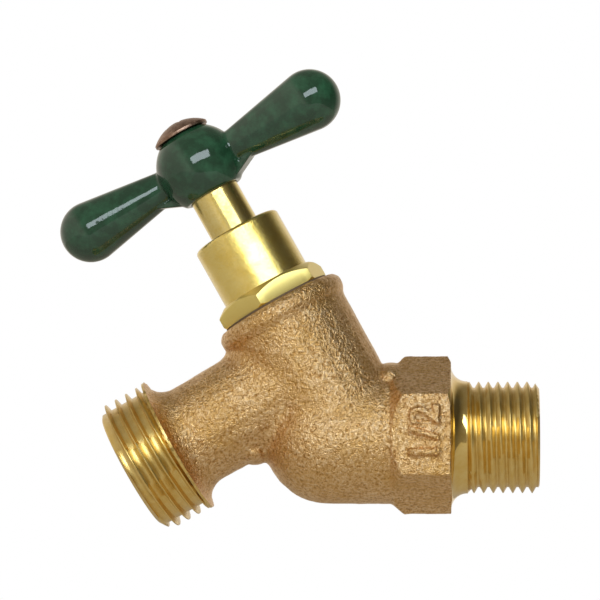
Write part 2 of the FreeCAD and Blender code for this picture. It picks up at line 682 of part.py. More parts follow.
def make_handle():
    """Hub, two tapered arms with round ends and a web under each. Heights start under the hub."""
    ball = doc.addObject("Part::Sphere", "hub_ball")
    bind(ball, "Radius", "hub_ball_radius")
    bind(ball, "Placement.Base.z", "hub_ball_height")
    hub = common("hub", ball, cylinder("hub_slab", "hub_ball_radius + bore_over", "hub_depth"))
    pieces = [hub]
    for side in ("right", "left"):
        facing = Rotation(Vector(0, 0, 1), 0 if side == "right" else 180)
        arm = turned(f"arm_{side}", [
            ("0", "0"),
            ("arm_root_radius", "0"),
            ("arm_root_radius", "arm_root_reach"),
            (f"knob_radius * cos({ARM_SLOPE})", f"knob_reach - knob_radius * sin({ARM_SLOPE})",
             ("knob_radius", 1)),
            ("0", "knob_reach + knob_radius"),
        ])
        arm.Placement.Rotation = facing * Rotation(Vector(0, 1, 0), 90)
        bind(arm, "Placement.Base.z", "arm_height")
        web = doc.addObject("Part::Extrusion", f"web_{side}")
        web.Base = outline(f"web_{side}_outline", [
            ("0", "0"),
            ("web_foot", "0"),
            ("web_reach", "arm_height - arm_root_radius + web_sink"),
            ("0", "arm_height - arm_root_radius + web_sink"),
        ])
        web.Dir = Vector(0, -1, 0)
        web.Solid = True
        web.Symmetric = True
        bind(web, "LengthFwd", "web_thickness")
        web.Placement.Rotation = facing
        pieces += [arm, web]
    outside = turn_about_z(fused("handle_outside", *pieces), "handle_turn")
    counterbore = cylinder("handle_counterbore", "stem_radius + stem_fit", "shoulder_depth + bore_over",
                           "-bore_over")
    socket = box("handle_socket", "drive_flats + 2 * drive_fit", "drive_flats + 2 * drive_fit",
                 "hub_depth - hub_web", "0")
    hole = cylinder("handle_hole", "cap_screw_radius + cap_screw_hole", "hub_depth + bore_over")
    space = turn_about_z(fused("handle_space", counterbore, socket, hole), "handle_turn")
    return stand_on_stem(cut("handle", outside, space), "hub_height")


def make_handle_screw():
    dome = "((cap_screw_head_radius ^ 2 + cap_screw_dome ^ 2) / (2 * cap_screw_dome))"
    blank = turned("handle_screw_blank", [
        ("0", "0"),
        ("cap_screw_radius", "0"),
        ("cap_screw_radius", "cap_screw_length"),
        ("cap_screw_head_radius", "cap_screw_length"),
        ("cap_screw_head_radius", "cap_screw_length + cap_screw_edge", (dome, 1)),
        ("0", "cap_screw_length + cap_screw_edge + cap_screw_dome"),
    ])
    foot = "cap_screw_length + cap_screw_edge + cap_screw_dome - cross_depth"
    cross = [box("cross_one", "cross_length", "cross_width", "cross_depth + bore_over", foot),
             box("cross_two", "cross_width", "cross_length", "cross_depth + bore_over", foot)]
    tool = turn_about_z(fused("screw_cross", *cross), "45 + handle_turn")
    return stand_on_stem(cut("handle_screw", blank, tool),
                         "hub_height + hub_depth - cap_screw_length")


def check(solids):
    """Stop if anything in the document failed, or a piece isn't one or more sound solids."""
    doc.recompute()
    for item in doc.Objects:
        for state in item.State:
            if state in ("Invalid", "Error"):
                raise RuntimeError(f"{item.Name} is {state}")
    for item in solids:
        shape = item.Shape
        if shape.isNull() or not shape.isValid() or not shape.Solids:
            raise RuntimeError(f"{item.Label} has no sound shape")


pieces = [
    make_valve_body(),
    make_bonnet(),
    make_bonnet_gasket(),
    make_stem(),
    make_seat_washer(),
    make_washer_screw(),
    make_handle(),
    make_handle_screw(),
]
for ring_name, ring_height in RINGS:
    pieces.append(make_stem_ring(f"stem_o_ring_{ring_name}", ring_height))
check(pieces)

os.makedirs("parts", exist_ok=True)
for piece in pieces:
    piece.Shape.exportStep(f"parts/{piece.Label}.step")
    print(f"{piece.Label}: {len(piece.Shape.Solids)} solid, {piece.Shape.Volume / 1000:.2f} cm3")
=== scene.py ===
# %% [markdown]
# # A hose bibb with a green tee handle
# The construction model already holds every piece at its real size: the valve body, the bonnet with its
# seals, the stem, the handle and the screws. This lesson dresses those pieces for a photograph. Where a
# piece was turned its mesh is already right, and needs only a finish and, on the bonnet and the handle's
# screw, a small radius on its edges. The sand-cast body and the enamelled handle have soft, uneven surfaces
# that no turned outline gives, so they are built again here from the same solids.

# %% Load the frame
import json
import math

import bmesh
import bpy
from mathutils import Matrix, Vector

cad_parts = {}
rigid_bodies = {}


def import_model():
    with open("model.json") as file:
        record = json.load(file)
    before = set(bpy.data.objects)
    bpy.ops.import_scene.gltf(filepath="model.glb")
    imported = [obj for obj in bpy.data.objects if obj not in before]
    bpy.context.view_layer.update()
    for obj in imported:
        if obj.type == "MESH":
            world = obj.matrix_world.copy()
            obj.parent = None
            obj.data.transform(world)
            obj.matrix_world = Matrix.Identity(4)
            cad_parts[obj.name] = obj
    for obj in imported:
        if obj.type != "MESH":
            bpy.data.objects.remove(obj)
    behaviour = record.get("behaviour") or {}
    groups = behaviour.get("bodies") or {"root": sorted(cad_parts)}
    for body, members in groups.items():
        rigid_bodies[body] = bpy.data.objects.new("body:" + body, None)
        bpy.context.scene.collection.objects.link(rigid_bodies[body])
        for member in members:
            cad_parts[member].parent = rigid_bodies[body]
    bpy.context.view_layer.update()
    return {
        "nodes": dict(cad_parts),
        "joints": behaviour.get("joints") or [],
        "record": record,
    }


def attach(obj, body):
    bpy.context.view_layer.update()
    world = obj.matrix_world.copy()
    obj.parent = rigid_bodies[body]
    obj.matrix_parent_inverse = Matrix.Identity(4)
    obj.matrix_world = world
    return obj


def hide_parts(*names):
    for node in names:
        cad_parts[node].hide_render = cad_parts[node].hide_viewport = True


for spare in list(bpy.data.objects):
    bpy.data.objects.remove(spare)
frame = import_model()
MM = 0.001
print("nodes:", ", ".join(sorted(frame["nodes"])))

# %% [markdown]
# Three lines organise the whole valve: the stem's axis, the spout's axis square to it, and the inlet's
# axis along X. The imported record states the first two, as a joint and as a mount, so nothing is measured
# twice. Distances along the stem and the inlet are counted from the crossing of those two axes, and
# distances along the spout from the stem's axis.

# %% The axes of the valve
joints = {joint["name"]: joint for joint in frame["joints"]}
mounts = {mount["name"]: mount for mount in frame["record"]["mounts"]}
INLET = Vector((1, 0, 0))
STEM = Vector(joints["handle_turn"]["axis"]).normalized()
SPOUT = Vector(mounts["hose_seat"]["axis"]).normalized()
on_stem = Vector(joints["handle_turn"]["pos_m"])
CROSSING = on_stem - STEM * (on_stem.z / STEM.z)
outlet = Vector(mounts["hose_seat"]["pos_m"])
SPOUT_START = CROSSING + STEM * (outlet - CROSSING).dot(STEM)
print("crossing", [round(c / MM, 2) for c in CROSSING], "mm")


def span(node, origin, axis):
    """The lowest and the highest distance of a node's mesh along an axis."""
    along = [(v.co - origin).dot(axis) for v in frame["nodes"][node].data.vertices]
    return min(along), max(along)


NECK_TOP = span("bonnet_gasket", CROSSING, STEM)[0]
BONNET_FOOT = span("bonnet", CROSSING, STEM)[0]
OUTLET_REACH = (outlet - SPOUT_START).dot(SPOUT)
print("neck top", round(NECK_TOP / MM, 2), "outlet reach", round(OUTLET_REACH / MM, 2))

# %% [markdown]
# ## Shader maths as expressions
# A finish is mostly arithmetic on positions: how far along an axis, which side of a shoulder, how strong
# a grain. Written as nodes that is hard to read, so one small class wraps a socket and lets the usual
# operators add the Math nodes. A second class fills a node tree, with a single method for every other
# node, and a third is one material.


# %% Numbers that vary over a surface
class Field:
    """A socket that carries a number, a colour or a vector. Operators on numbers add Math nodes."""

    def __init__(self, tree, socket):
        self.tree = tree
        self.socket = socket

    def worked(self, operation, first, second=None, clamp=False):
        made = self.tree.nodes.new("ShaderNodeMath")
        made.operation = operation
        made.use_clamp = clamp
        for slot, term in enumerate((first, second)):
            if isinstance(term, Field):
                self.tree.links.new(term.socket, made.inputs[slot])
            elif term is not None:
                made.inputs[slot].default_value = term
        return Field(self.tree, made.outputs[0])

    def __add__(self, other):
        return self.worked("ADD", self, other)

    def __sub__(self, other):
        return self.worked("SUBTRACT", self, other)

    def __rsub__(self, other):
        return self.worked("SUBTRACT", other, self)

    def __mul__(self, other):
        return self.worked("MULTIPLY", self, other)

    __radd__ = __add__
    __rmul__ = __mul__

    def step(self, low, high):
        """0 below low and 1 above high, with a straight ramp between."""
        return self.worked("MULTIPLY", self - low, 1 / (high - low), clamp=True)


class Nodes:
    """A node tree that is being filled, of a material or of the world."""

    def __init__(self, tree):
        self.tree = tree

    def node(self, kind, settings=None, values=None, output=0):
        """Add one node: settings are its properties and a ramp's stops, values its sockets."""
        made = self.tree.nodes.new(kind)
        for key, setting in (settings or {}).items():
            if key == "stops":
                self.set_stops(made.color_ramp, setting)
            else:
                setattr(made, key, setting)
        for key, value in (values or {}).items():
            self.set_socket(made, key, value)
        return Field(self.tree, made.outputs[output])

    def set_stops(self, ramp, stops):
        while len(ramp.elements) < len(stops):
            ramp.elements.new(1.0)
        for element, (position, colour) in zip(ramp.elements, stops):
            element.position = position
            element.color = (*colour, 1.0)

    def set_socket(self, made, key, value):
        found = [s for s in made.inputs if key in (s.identifier, s.name)]
        socket = found[0] if isinstance(key, str) else made.inputs[key]
        if isinstance(value, Field):
            self.tree.links.new(value.socket, socket)
        elif socket.type == "RGBA" and len(value) == 3:
            socket.default_value = (*value, 1.0)
        else:
            socket.default_value = value

    def blend(self, share, first, second):
        """The first colour where share is 0, the second where it is 1."""
        return self.node("ShaderNodeMix", {"data_type": "RGBA"},
                         {"Factor_Float": share, "A_Color": first, "B_Color": second}, output=2)


# %% A finish is one material
class Finish(Nodes):
    """A material. Its constants go straight to the shader's sockets, and feed links what varies."""

    def __init__(self, name, **constants):
        self.material = bpy.data.materials.new(name)
        self.material.use_nodes = True
        super().__init__(self.material.node_tree)
        self.shader = self.tree.nodes["Principled BSDF"]
        self.place = self.node("ShaderNodeTexCoord", output=3)
        for key, value in constants.items():
            self.set_socket(self.shader, key.replace("_", " "), value)

    def noise(self, size_mm, detail=2.0, roughness=0.5, place=None):
        """Noise from 0 to 1 whose lumps are about size_mm across."""
        return self.node("ShaderNodeTexNoise", None, {
            "Vector": place or self.place, "Scale": 1 / (size_mm * MM), "Detail": detail,
            "Roughness": roughness})

    def rings(self, reach, size_mm, detail):
        """Noise that changes only with reach, a distance along an axis, like the rings of a lathe."""
        return self.node("ShaderNodeTexNoise", {"noise_dimensions": "1D"},
                         {"W": reach, "Scale": 1 / (size_mm * MM), "Detail": detail})

    def along(self, axis, origin):
        """How far a point lies along an axis, in metres from the origin."""
        reach = self.node("ShaderNodeVectorMath", {"operation": "DOT_PRODUCT"},
                          {0: self.place, 1: tuple(axis)}, output=1)
        return reach - origin.dot(axis)

    def ramp(self, share, *stops):
        return self.node("ShaderNodeValToRGB", {"stops": stops}, {"Fac": share})

    def bump(self, height, depth_mm, strength=1.0):
        """A normal that rises depth_mm where height goes from 0 to 1."""
        return self.node("ShaderNodeBump", None,
                         {"Height": height, "Distance": depth_mm * MM, "Strength": strength})

    def feed(self, **fields):
        for key, value in fields.items():
            self.set_socket(self.shader, key.replace("_", " "), value)
        return self.material


# %% [markdown]
# ## Cast bronze
# Sand leaves a bright, coarse grain on the casting: pits and peaks about half a millimetre across that
# each catch the light. The metal itself is a warm brown gold with slow patches of ochre. Its colour also
# follows the grain as painted light: the pits are painted darker, a painted shade, and the peaks paler, a
# painted highlight. The grain is a bump, since it is finer than any mesh; the lumps above it are real
# geometry, made with the body below.

# %% The cast finish
GRAIN_MM = 0.6
FINE_GRAIN_MM = 0.28
GRAIN_DEPTH_MM = 0.5
PATCH_MM = 7.0
OCHRE_SHARE = 0.5
# The pit colour is a painted shade and the peak colour a painted highlight, laid on by the grain's relief.
PAINTED_SHADE_PIT_BRONZE = (0.44, 0.21, 0.055)
MID_BRONZE = (0.79, 0.49, 0.205)
PAINTED_HIGHLIGHT_PEAK_BRONZE = (0.97, 0.71, 0.41)
OCHRE_BRONZE = (0.68, 0.38, 0.09)
BRONZE_PAINTED_LIGHT_BY_RELIEF = ((0.37, PAINTED_SHADE_PIT_BRONZE), (0.49, MID_BRONZE), (0.62, PAINTED_HIGHLIGHT_PEAK_BRONZE))


def cast_bronze():
    finish = Finish("cast bronze", Metallic=1.0, Coat_Weight=0.1, Coat_Roughness=0.3, Coat_IOR=1.6)
    grain = finish.noise(GRAIN_MM, detail=3.0, roughness=0.6)
    fine = finish.noise(FINE_GRAIN_MM, detail=1.0, roughness=0.6)
    patch = finish.noise(PATCH_MM, detail=3.0)
    relief = grain * 0.65 + fine * 0.35
    # Painted shade in the pits and a painted highlight on the peaks, from the same relief as the bump.
    colour = finish.ramp(relief, *BRONZE_PAINTED_LIGHT_BY_RELIEF)
    tinted = finish.blend(patch.step(0.42, 0.72) * OCHRE_SHARE, colour, OCHRE_BRONZE)
    return finish.feed(Base_Color=tinted, Roughness=0.24 + fine * 0.14,
                       Normal=finish.bump(relief, GRAIN_DEPTH_MM))


CAST = cast_bronze()
print(CAST.name, "has", len(CAST.node_tree.nodes), "nodes")

# %% [markdown]
# ## Machined bronze
# The threads, the shoulder and the hollow beside it were cut on a lathe after casting, so the same metal
# shows there as bright gold. A lathe leaves rings too fine to model: a noise that changes only along the
# axis of each end stands for them. The two ends lie on different axes, and a mask on X chooses between.
# The hollow from the shoulder to the inlet's thread was cut with a fine feed and is nearly a mirror.

# %% The machined finish
LATHE_RING_MM = 0.12
RING_DEPTH_MM = 0.05
SMEAR_MM = 1.6
THREAD_GOLD = (0.80, 0.55, 0.16)
PALE_GOLD = (0.86, 0.64, 0.24)
INLET_SIDE = (4 * MM, 5 * MM)
SHOULDER = 18.7 * MM
THREAD_START = 21.7 * MM
EDGE = 0.1 * MM


def machined_bronze():
    finish = Finish("machined bronze", Metallic=1.0, Coat_Weight=0.3, Coat_Roughness=0.12, Coat_IOR=1.5)
    from_crossing = finish.along(INLET, CROSSING)
    inlet_side = from_crossing.step(*INLET_SIDE)
    across = from_crossing * inlet_side + finish.along(SPOUT, SPOUT_START) * (1 - inlet_side)
    past_shoulder = from_crossing.step(SHOULDER, SHOULDER + EDGE)
    in_thread = from_crossing.step(THREAD_START - EDGE, THREAD_START + EDGE)
    polished = past_shoulder * (1 - in_thread)
    rings = finish.rings(across, LATHE_RING_MM, detail=2.0)
    smear = finish.noise(SMEAR_MM, detail=3.0)
    colour = finish.blend(smear.step(0.35, 0.7), THREAD_GOLD, PALE_GOLD)
    return finish.feed(Base_Color=colour, Roughness=(0.25 + smear * 0.12) * (1 - polished * 0.65),
                       Normal=finish.bump(rings * (1 - polished * 0.9), RING_DEPTH_MM, 0.8))


MACHINED = machined_bronze()
print(MACHINED.name, "has", len(MACHINED.node_tree.nodes), "nodes")

# %% [markdown]
# ## Turned brass
# The bonnet and the stem come from yellow brass bar: paler and greener than the casting, under a thin
# lacquer, which is the shader's coat. A faint frost of handling marks breaks up what the metal mirrors. The
# bonnet's hexagon keeps the bar's milled faces: duller, paler, with hardly any lacquer, and marked along
# the stem, so its grain is a noise that is drawn out in that direction.

# %% The brass finish
BONNET_BRASS = ((0.97, 0.78, 0.26), (0.88, 0.64, 0.13))
STEM_BRASS = ((0.97, 0.79, 0.31), (0.89, 0.67, 0.17))
MILLED_BRASS = (0.95, 0.78, 0.27)
HEXAGON_TOP = NECK_TOP + 4.2 * MM
MILL_MARK_MM = 0.22
MILL_MARK_DRAW = 0.9
BRASS_STAIN_MM = 3.5


def turned_brass(name, colours, frost_mm, frost_depth_mm):
    finish = Finish(name, Metallic=1.0, Coat_Roughness=0.12, Coat_IOR=1.7)
    height = finish.along(STEM, CROSSING)
    milled = 1 - height.step(HEXAGON_TOP - EDGE, HEXAGON_TOP)
    rings = finish.rings(height, LATHE_RING_MM, detail=1.0)
    drop = finish.node("ShaderNodeVectorMath", {"operation": "SCALE"},
                       {0: tuple(STEM), "Scale": height * -MILL_MARK_DRAW})
    squeezed = finish.node("ShaderNodeVectorMath", {"operation": "ADD"}, {0: finish.place, 1: drop})
    marks = finish.noise(MILL_MARK_MM, detail=2.0, place=squeezed)
    frost = finish.noise(frost_mm, detail=3.0, roughness=0.65)
    stain = finish.noise(BRASS_STAIN_MM, detail=2.0)
    turned_colour = finish.blend((stain * 0.5 + frost * 0.5).step(0.4, 0.62), *colours)
    colour = finish.blend(milled * 0.8, turned_colour, MILLED_BRASS)
    relief = (frost * 0.85 + rings * 0.15) * (1 - milled) + marks * milled * 0.3
    return finish.feed(Base_Color=colour, Roughness=0.12 + frost * 0.16 + milled * 0.2,
                       Coat_Weight=0.6 - milled * 0.45,
                       Normal=finish.bump(relief, frost_depth_mm, 0.8))


BONNET_FINISH = turned_brass("turned brass", BONNET_BRASS, frost_mm=0.36, frost_depth_mm=0.09)
STEM_FINISH = turned_brass("polished brass", STEM_BRASS, frost_mm=0.5, frost_depth_mm=0.02)
print("hexagon's top", round(HEXAGON_TOP / MM, 2), "mm above the crossing")

# %% [markdown]
# ## Green enamel, bronze plate, rubber and fibre
# The handle was dipped in a deep green enamel of uneven thickness, so its colour is mottled. Enamel is a
# glass: a nearly smooth shader without metal and with a high IOR mirrors the softbox as a clear bar. The
# screw is bronze plated and worn. Rubber and fibre are dull, and only show inside or as a thin line.

# %% The other finishes
ENAMEL = (0.012, 0.049, 0.023)
ENAMEL_THIN = (0.026, 0.102, 0.050)
ENAMEL_CLOUD_MM = 2.6
ENAMEL_PEEL_MM = 1.8
PLATED_BRONZE = (0.27, 0.165, 0.115)
WORN_BRONZE = (0.50, 0.335, 0.245)
WEAR_MM = 0.9


def green_enamel():
    finish = Finish("green enamel", IOR=1.64)
    cloud = finish.noise(ENAMEL_CLOUD_MM, detail=4.0, roughness=0.6)
    peel = finish.noise(ENAMEL_PEEL_MM, detail=2.0)
    colour = finish.blend(cloud.step(0.42, 0.72), ENAMEL, ENAMEL_THIN)
    return finish.feed(Base_Color=colour, Roughness=0.03 + cloud * 0.08,
                       Normal=finish.bump(peel, 0.05, 0.6))


def bronze_plate():
    finish = Finish("bronze plate", Metallic=1.0)
    wear = finish.noise(WEAR_MM, detail=4.0, roughness=0.65)
    colour = finish.blend(wear.step(0.4, 0.7), PLATED_BRONZE, WORN_BRONZE)
    return finish.feed(Base_Color=colour, Roughness=0.28 + wear * 0.2,
                       Normal=finish.bump(wear, 0.02, 0.5))


def dull(name, dark, light, size_mm, roughness):
    """Rubber and fibre: a soft mottle between two close colours."""
    finish = Finish(name)
    mottle = finish.noise(size_mm, detail=3.0)
    return finish.feed(Base_Color=finish.blend(mottle, dark, light), Roughness=roughness + mottle * 0.1,
                       Normal=finish.bump(mottle, 0.02, 0.5))


GREEN = green_enamel()
PLATE = bronze_plate()
RUBBER = dull("seal rubber", dark=(0.012, 0.012, 0.013), light=(0.03, 0.03, 0.032), size_mm=0.5,
              roughness=0.55)
FIBRE = dull("gasket fibre", dark=(0.1, 0.065, 0.035), light=(0.18, 0.12, 0.07), size_mm=0.3,
             roughness=0.75)
print("finishes:", ", ".join(made.name for made in bpy.data.materials))

# %% [markdown]
# ## Making and cutting meshes
# The casting is made the way the real one is: a rough blank first, then a lathe and drills. So the helpers
# below turn an outline about an axis, join meshes, and cut one closed mesh with another. Each new face of a
# cut takes the material of the tool, which is how machined surfaces get their own finish without any mask.


# %% Helpers for meshes
def new_piece(name, mesh, material=None):
    piece = bpy.data.objects.new(name, mesh)
    bpy.context.scene.collection.objects.link(piece)
    if material:
        mesh.materials.clear()
        mesh.materials.append(material)
    return piece


def copy_of(node, name, material):
    """A closed copy of a node's mesh, with the seams of its shading welded."""
    built = bmesh.new()
    built.from_mesh(frame["nodes"][node].data)
    bmesh.ops.remove_doubles(built, verts=built.verts, dist=1e-7)
    mesh = bpy.data.meshes.new(name)
    built.to_mesh(mesh)
    built.free()
    return new_piece(name, mesh, material)


def turned(name, origin, axis, outline, material=None, steps=128, first=Vector((0, 1, 0))):
    """A solid of revolution. The outline runs from the axis out and back to it, as (along, radius)."""
    side = first.normalized()
    other = axis.cross(side)
    built = bmesh.new()
    rings = []
    for along, radius in outline:
        centre = origin + axis * along
        if radius < 1e-9:
            rings.append([built.verts.new(centre)])
            continue
        turns = [2 * math.pi * step / steps for step in range(steps)]
        rings.append([built.verts.new(centre + (side * math.cos(t) + other * math.sin(t)) * radius)
                      for t in turns])
    for low, high in zip(rings, rings[1:]):
        for step in range(steps):
            corners = [low[step % len(low)], low[(step + 1) % len(low)],
                       high[(step + 1) % len(high)], high[step % len(high)]]
            built.faces.new(list(dict.fromkeys(corners)))
    bmesh.ops.recalc_face_normals(built, faces=built.faces)
    mesh = bpy.data.meshes.new(name)
    built.to_mesh(mesh)
    built.free()
    return new_piece(name, mesh, material)


def ball(name, centre, radius, material=None, stretch=(1, 1, 1)):
    mesh = bpy.data.meshes.new(name)
    built = bmesh.new()
    bmesh.ops.create_uvsphere(built, u_segments=64, v_segments=32, radius=radius)
    bmesh.ops.scale(built, verts=built.verts, vec=stretch)
    bmesh.ops.translate(built, verts=built.verts, vec=centre)
    built.to_mesh(mesh)
    built.free()
    return new_piece(name, mesh, material)


def settle(piece):
    """Apply the piece's modifiers."""
    shown = piece.evaluated_get(bpy.context.evaluated_depsgraph_get())
    piece.data = bpy.data.meshes.new_from_object(shown)
    piece.modifiers.clear()
    return piece


def modified(piece, kind, **settings):
    change = piece.modifiers.new(kind.lower(), kind)
    for key, value in settings.items():
        setattr(change, key, value)
    return settle(piece)


def combined(piece, tool, operation):
    """Cut, join or trim a closed mesh with another, which is used up."""
    piece = modified(piece, "BOOLEAN", object=tool, operation=operation, solver="MANIFOLD",
                     material_mode="TRANSFER")
    bpy.data.objects.remove(tool)
    return piece


def gathered(piece, *others):
    """Put several meshes into one, without joining their surfaces."""
    built = bmesh.new()
    built.from_mesh(piece.data)
    for other in others:
        built.from_mesh(other.data)
        bpy.data.objects.remove(other)
    built.to_mesh(piece.data)
    built.free()
    return piece


# %% [markdown]
# ## The blank of the casting
# The body of the frame is hollow and threaded. Plugs fill its waterways, and stubs lengthen its hexagon,
# collar and neck past the faces that a lathe will cut. A voxel remesh then melts everything into one even
# skin, which rounds the hexagon's edges the way sand does. Raised size figures go in before the remesh, so
# that they grow out of the flat like the rest. Smoothing and two displacements of real geometry follow.

# %% Sizes of the casting
VOXEL = 0.29 * MM
HEX_FLAT = 12.9 * MM
HEX_CORNER = HEX_FLAT / math.cos(math.radians(30))
HEX_RISE = 0.45 * MM
HEX_RISE_START = 7 * MM
HEX_RISE_LENGTH = 4 * MM
COLLAR = 29.7 * MM
COLLAR_RADIUS = 13.45 * MM
COLLAR_LAND = 0.5 * MM
INLET_BORE = 6.5 * MM
SEAT_BORE = 4.9 * MM
CHAMBER_BORE = 8.6 * MM
NECK_BORE = 9.75 * MM
SPOUT_BORE = 6.2 * MM
MOUTH_BORE = 8.6 * MM
OVERREACH = 2 * MM
INLET_END = -CROSSING.x + OVERREACH
OUTLET_END = OUTLET_REACH + OVERREACH
LUMPS = ((2.6 * MM, 0.16 * MM), (0.7 * MM, 0.08 * MM))
print("hexagon", round(2 * HEX_FLAT / MM, 2), "mm across its flats")


# %% Fill the waterways and lengthen the ends
NECK_STUB_TOP = NECK_TOP + 0.6 * MM


def rod(name, origin, axis, foot, top, radius, material=None, **more):
    outline = [(foot, 0), (foot, radius), (top, radius), (top, 0)]
    return turned(name, origin, axis, outline, material, **more)


def plugs():
    """Fillings a little wider than the bores, for the inlet, the seat, the chamber and the spout."""
    return [
        rod("inlet plug", CROSSING, INLET, 0, THREAD_START + OVERREACH, INLET_BORE + MM),
        ball("turn plug", CROSSING, INLET_BORE + MM),
        rod("seat plug", CROSSING, STEM, 0, 8 * MM, 6 * MM),
        rod("chamber plug", CROSSING, STEM, 6 * MM, NECK_STUB_TOP, 10.2 * MM),
        rod("spout plug", SPOUT_START, SPOUT, 0, COLLAR + MM, 8 * MM),
    ]


def stubs():
    """Longer ends for the hexagon, the collar and the neck, for the lathe to face."""
    return [
        rod("hexagon stub", CROSSING, INLET, 12 * MM, THREAD_START + OVERREACH, HEX_CORNER, steps=6,
            first=Vector((0, 0, 1))),
        rod("collar stub", SPOUT_START, SPOUT, COLLAR - COLLAR_LAND, COLLAR + OVERREACH, 13.8 * MM),
        rod("neck stub", CROSSING, STEM, NECK_TOP - MM, NECK_STUB_TOP, 11.7 * MM),
    ]


def crotch_fills():
    """Metal that the pattern left in the two sharp corners, above the pipe and under the spout."""
    above = CROSSING + Vector((7.2, 0, 10.9)) * MM
    under = CROSSING + Vector((-18.4, 0, -2.6)) * MM
    return [
        ball("fill above the pipe", above, 3.2 * MM, stretch=(1, 2.2, 1)),
        ball("fill under the spout", under, 2.6 * MM, stretch=(1.3, 2.4, 1)),
    ]


# %% Raised size figures
FIGURE_HEIGHT = 7.4 * MM
FIGURE_RISE = 0.65 * MM
FIGURE_SWELL = 0.2 * MM
FIGURE_PLACE = Vector((14.2 * MM, -HEX_FLAT, 0.2 * MM))


def size_figures():
    """A plain nominal size, reading upwards on the near flat."""
    text = bpy.data.curves.new("size figures", "FONT")
    text.body = "1/2"
    text.size = FIGURE_HEIGHT
    text.extrude = FIGURE_RISE
    text.offset = FIGURE_SWELL
    text.space_character = 1.15
    text.align_x = "CENTER"
    text.align_y = "CENTER"
    shown = bpy.data.objects.new("size figures", text)
    bpy.context.scene.collection.objects.link(shown)
    mesh = bpy.data.meshes.new_from_object(shown.evaluated_get(bpy.context.evaluated_depsgraph_get()))
    bpy.data.objects.remove(shown)
    reading, tops, out = Vector((0, 0, 1)), Vector((-1, 0, 0)), Vector((0, -1, 0))
    turn = Matrix((reading, tops, out)).transposed().to_4x4()
    mesh.transform(Matrix.Translation(CROSSING + FIGURE_PLACE) @ turn)
    return new_piece("size figures", mesh)


# %% Melt, smooth and roughen the blank
def lumpy(piece, size, depth):
    texture = bpy.data.textures.new("cast lumps", "CLOUDS")
    texture.noise_scale = size
    texture.noise_depth = 1
    return modified(piece, "DISPLACE", texture=texture, texture_coords="LOCAL", strength=depth,
                    mid_level=0.5)


def raise_hexagon(piece):
    """The hexagon was cast a little above the axis that the lathe found, so it slides up from the neck."""
    for vertex in piece.data.vertices:
        along = vertex.co.x - CROSSING.x
        share = min(max((along - HEX_RISE_START) / HEX_RISE_LENGTH, 0), 1)
        vertex.co.z += HEX_RISE * share * share * (3 - 2 * share)
    return piece


def cast_blank():
    blank = copy_of("valve_body", "body_casting", CAST)
    blank = gathered(blank, *plugs(), *stubs(), *crotch_fills(), size_figures())
    blank = modified(blank, "REMESH", mode="VOXEL", voxel_size=VOXEL)
    blank = raise_hexagon(modified(blank, "SMOOTH", factor=0.5, iterations=3))
    for size, depth in LUMPS:
        blank = lumpy(blank, size, depth)
    blank.data.materials.clear()
    blank.data.materials.append(CAST)
    print("cast blank:", len(blank.data.polygons), "faces")
    return blank


# %% [markdown]
# ## Turning and drilling the casting
# The lathe takes off everything outside the shoulder and its hollow at the inlet, outside the collar at
# the spout, and above the neck's face. Drills make the waterways. The two threads are cut out of the frame's
# own body, where each ridge is a true helix, and joined to the casting, so the finished body is one closed
# mesh with two finishes.


# %% What the lathe takes off
CLEAR_OF_ALL = 17 * MM
OVERLAP = 0.05 * MM


def inlet_facing():
    """The shoulder, a quarter round hollow beside it, and everything beyond."""
    sweep = 3.0 * MM
    hollow_foot = 10.55 * MM
    end = THREAD_START + 2 * OVERLAP
    outline = [(end, 0), (end, hollow_foot)]
    for step in range(13):
        angle = math.radians(90 * step / 12)
        outline.append((THREAD_START - sweep * math.sin(angle),
                        hollow_foot + sweep * (1 - math.cos(angle))))
    outline += [(SHOULDER, 14.2 * MM), (SHOULDER - 0.7 * MM, 15.4 * MM),
                (SHOULDER - 0.8 * MM, CLEAR_OF_ALL), (INLET_END, CLEAR_OF_ALL), (INLET_END, 0)]
    return turned("inlet facing", CROSSING, INLET, outline, MACHINED)


def outlet_facing():
    """The face of the collar, its narrow land, and everything beyond."""
    land = COLLAR - COLLAR_LAND
    outline = [(COLLAR, 0), (COLLAR, COLLAR_RADIUS), (land, COLLAR_RADIUS), (land, CLEAR_OF_ALL),
               (OUTLET_END, CLEAR_OF_ALL), (OUTLET_END, 0)]
    return turned("outlet facing", SPOUT_START, SPOUT, outline, MACHINED)


def neck_facing():
    return rod("neck facing", CROSSING, STEM, NECK_TOP, NECK_TOP + 4 * MM, 15 * MM, MACHINED)


# %% What the drills take out
SEAT_HEIGHT = 8.6 * MM
MOUTH_DEPTH = 7 * MM
MOUTH_TAPER = 4 * MM
BORE_CLEAR = 0.06 * MM


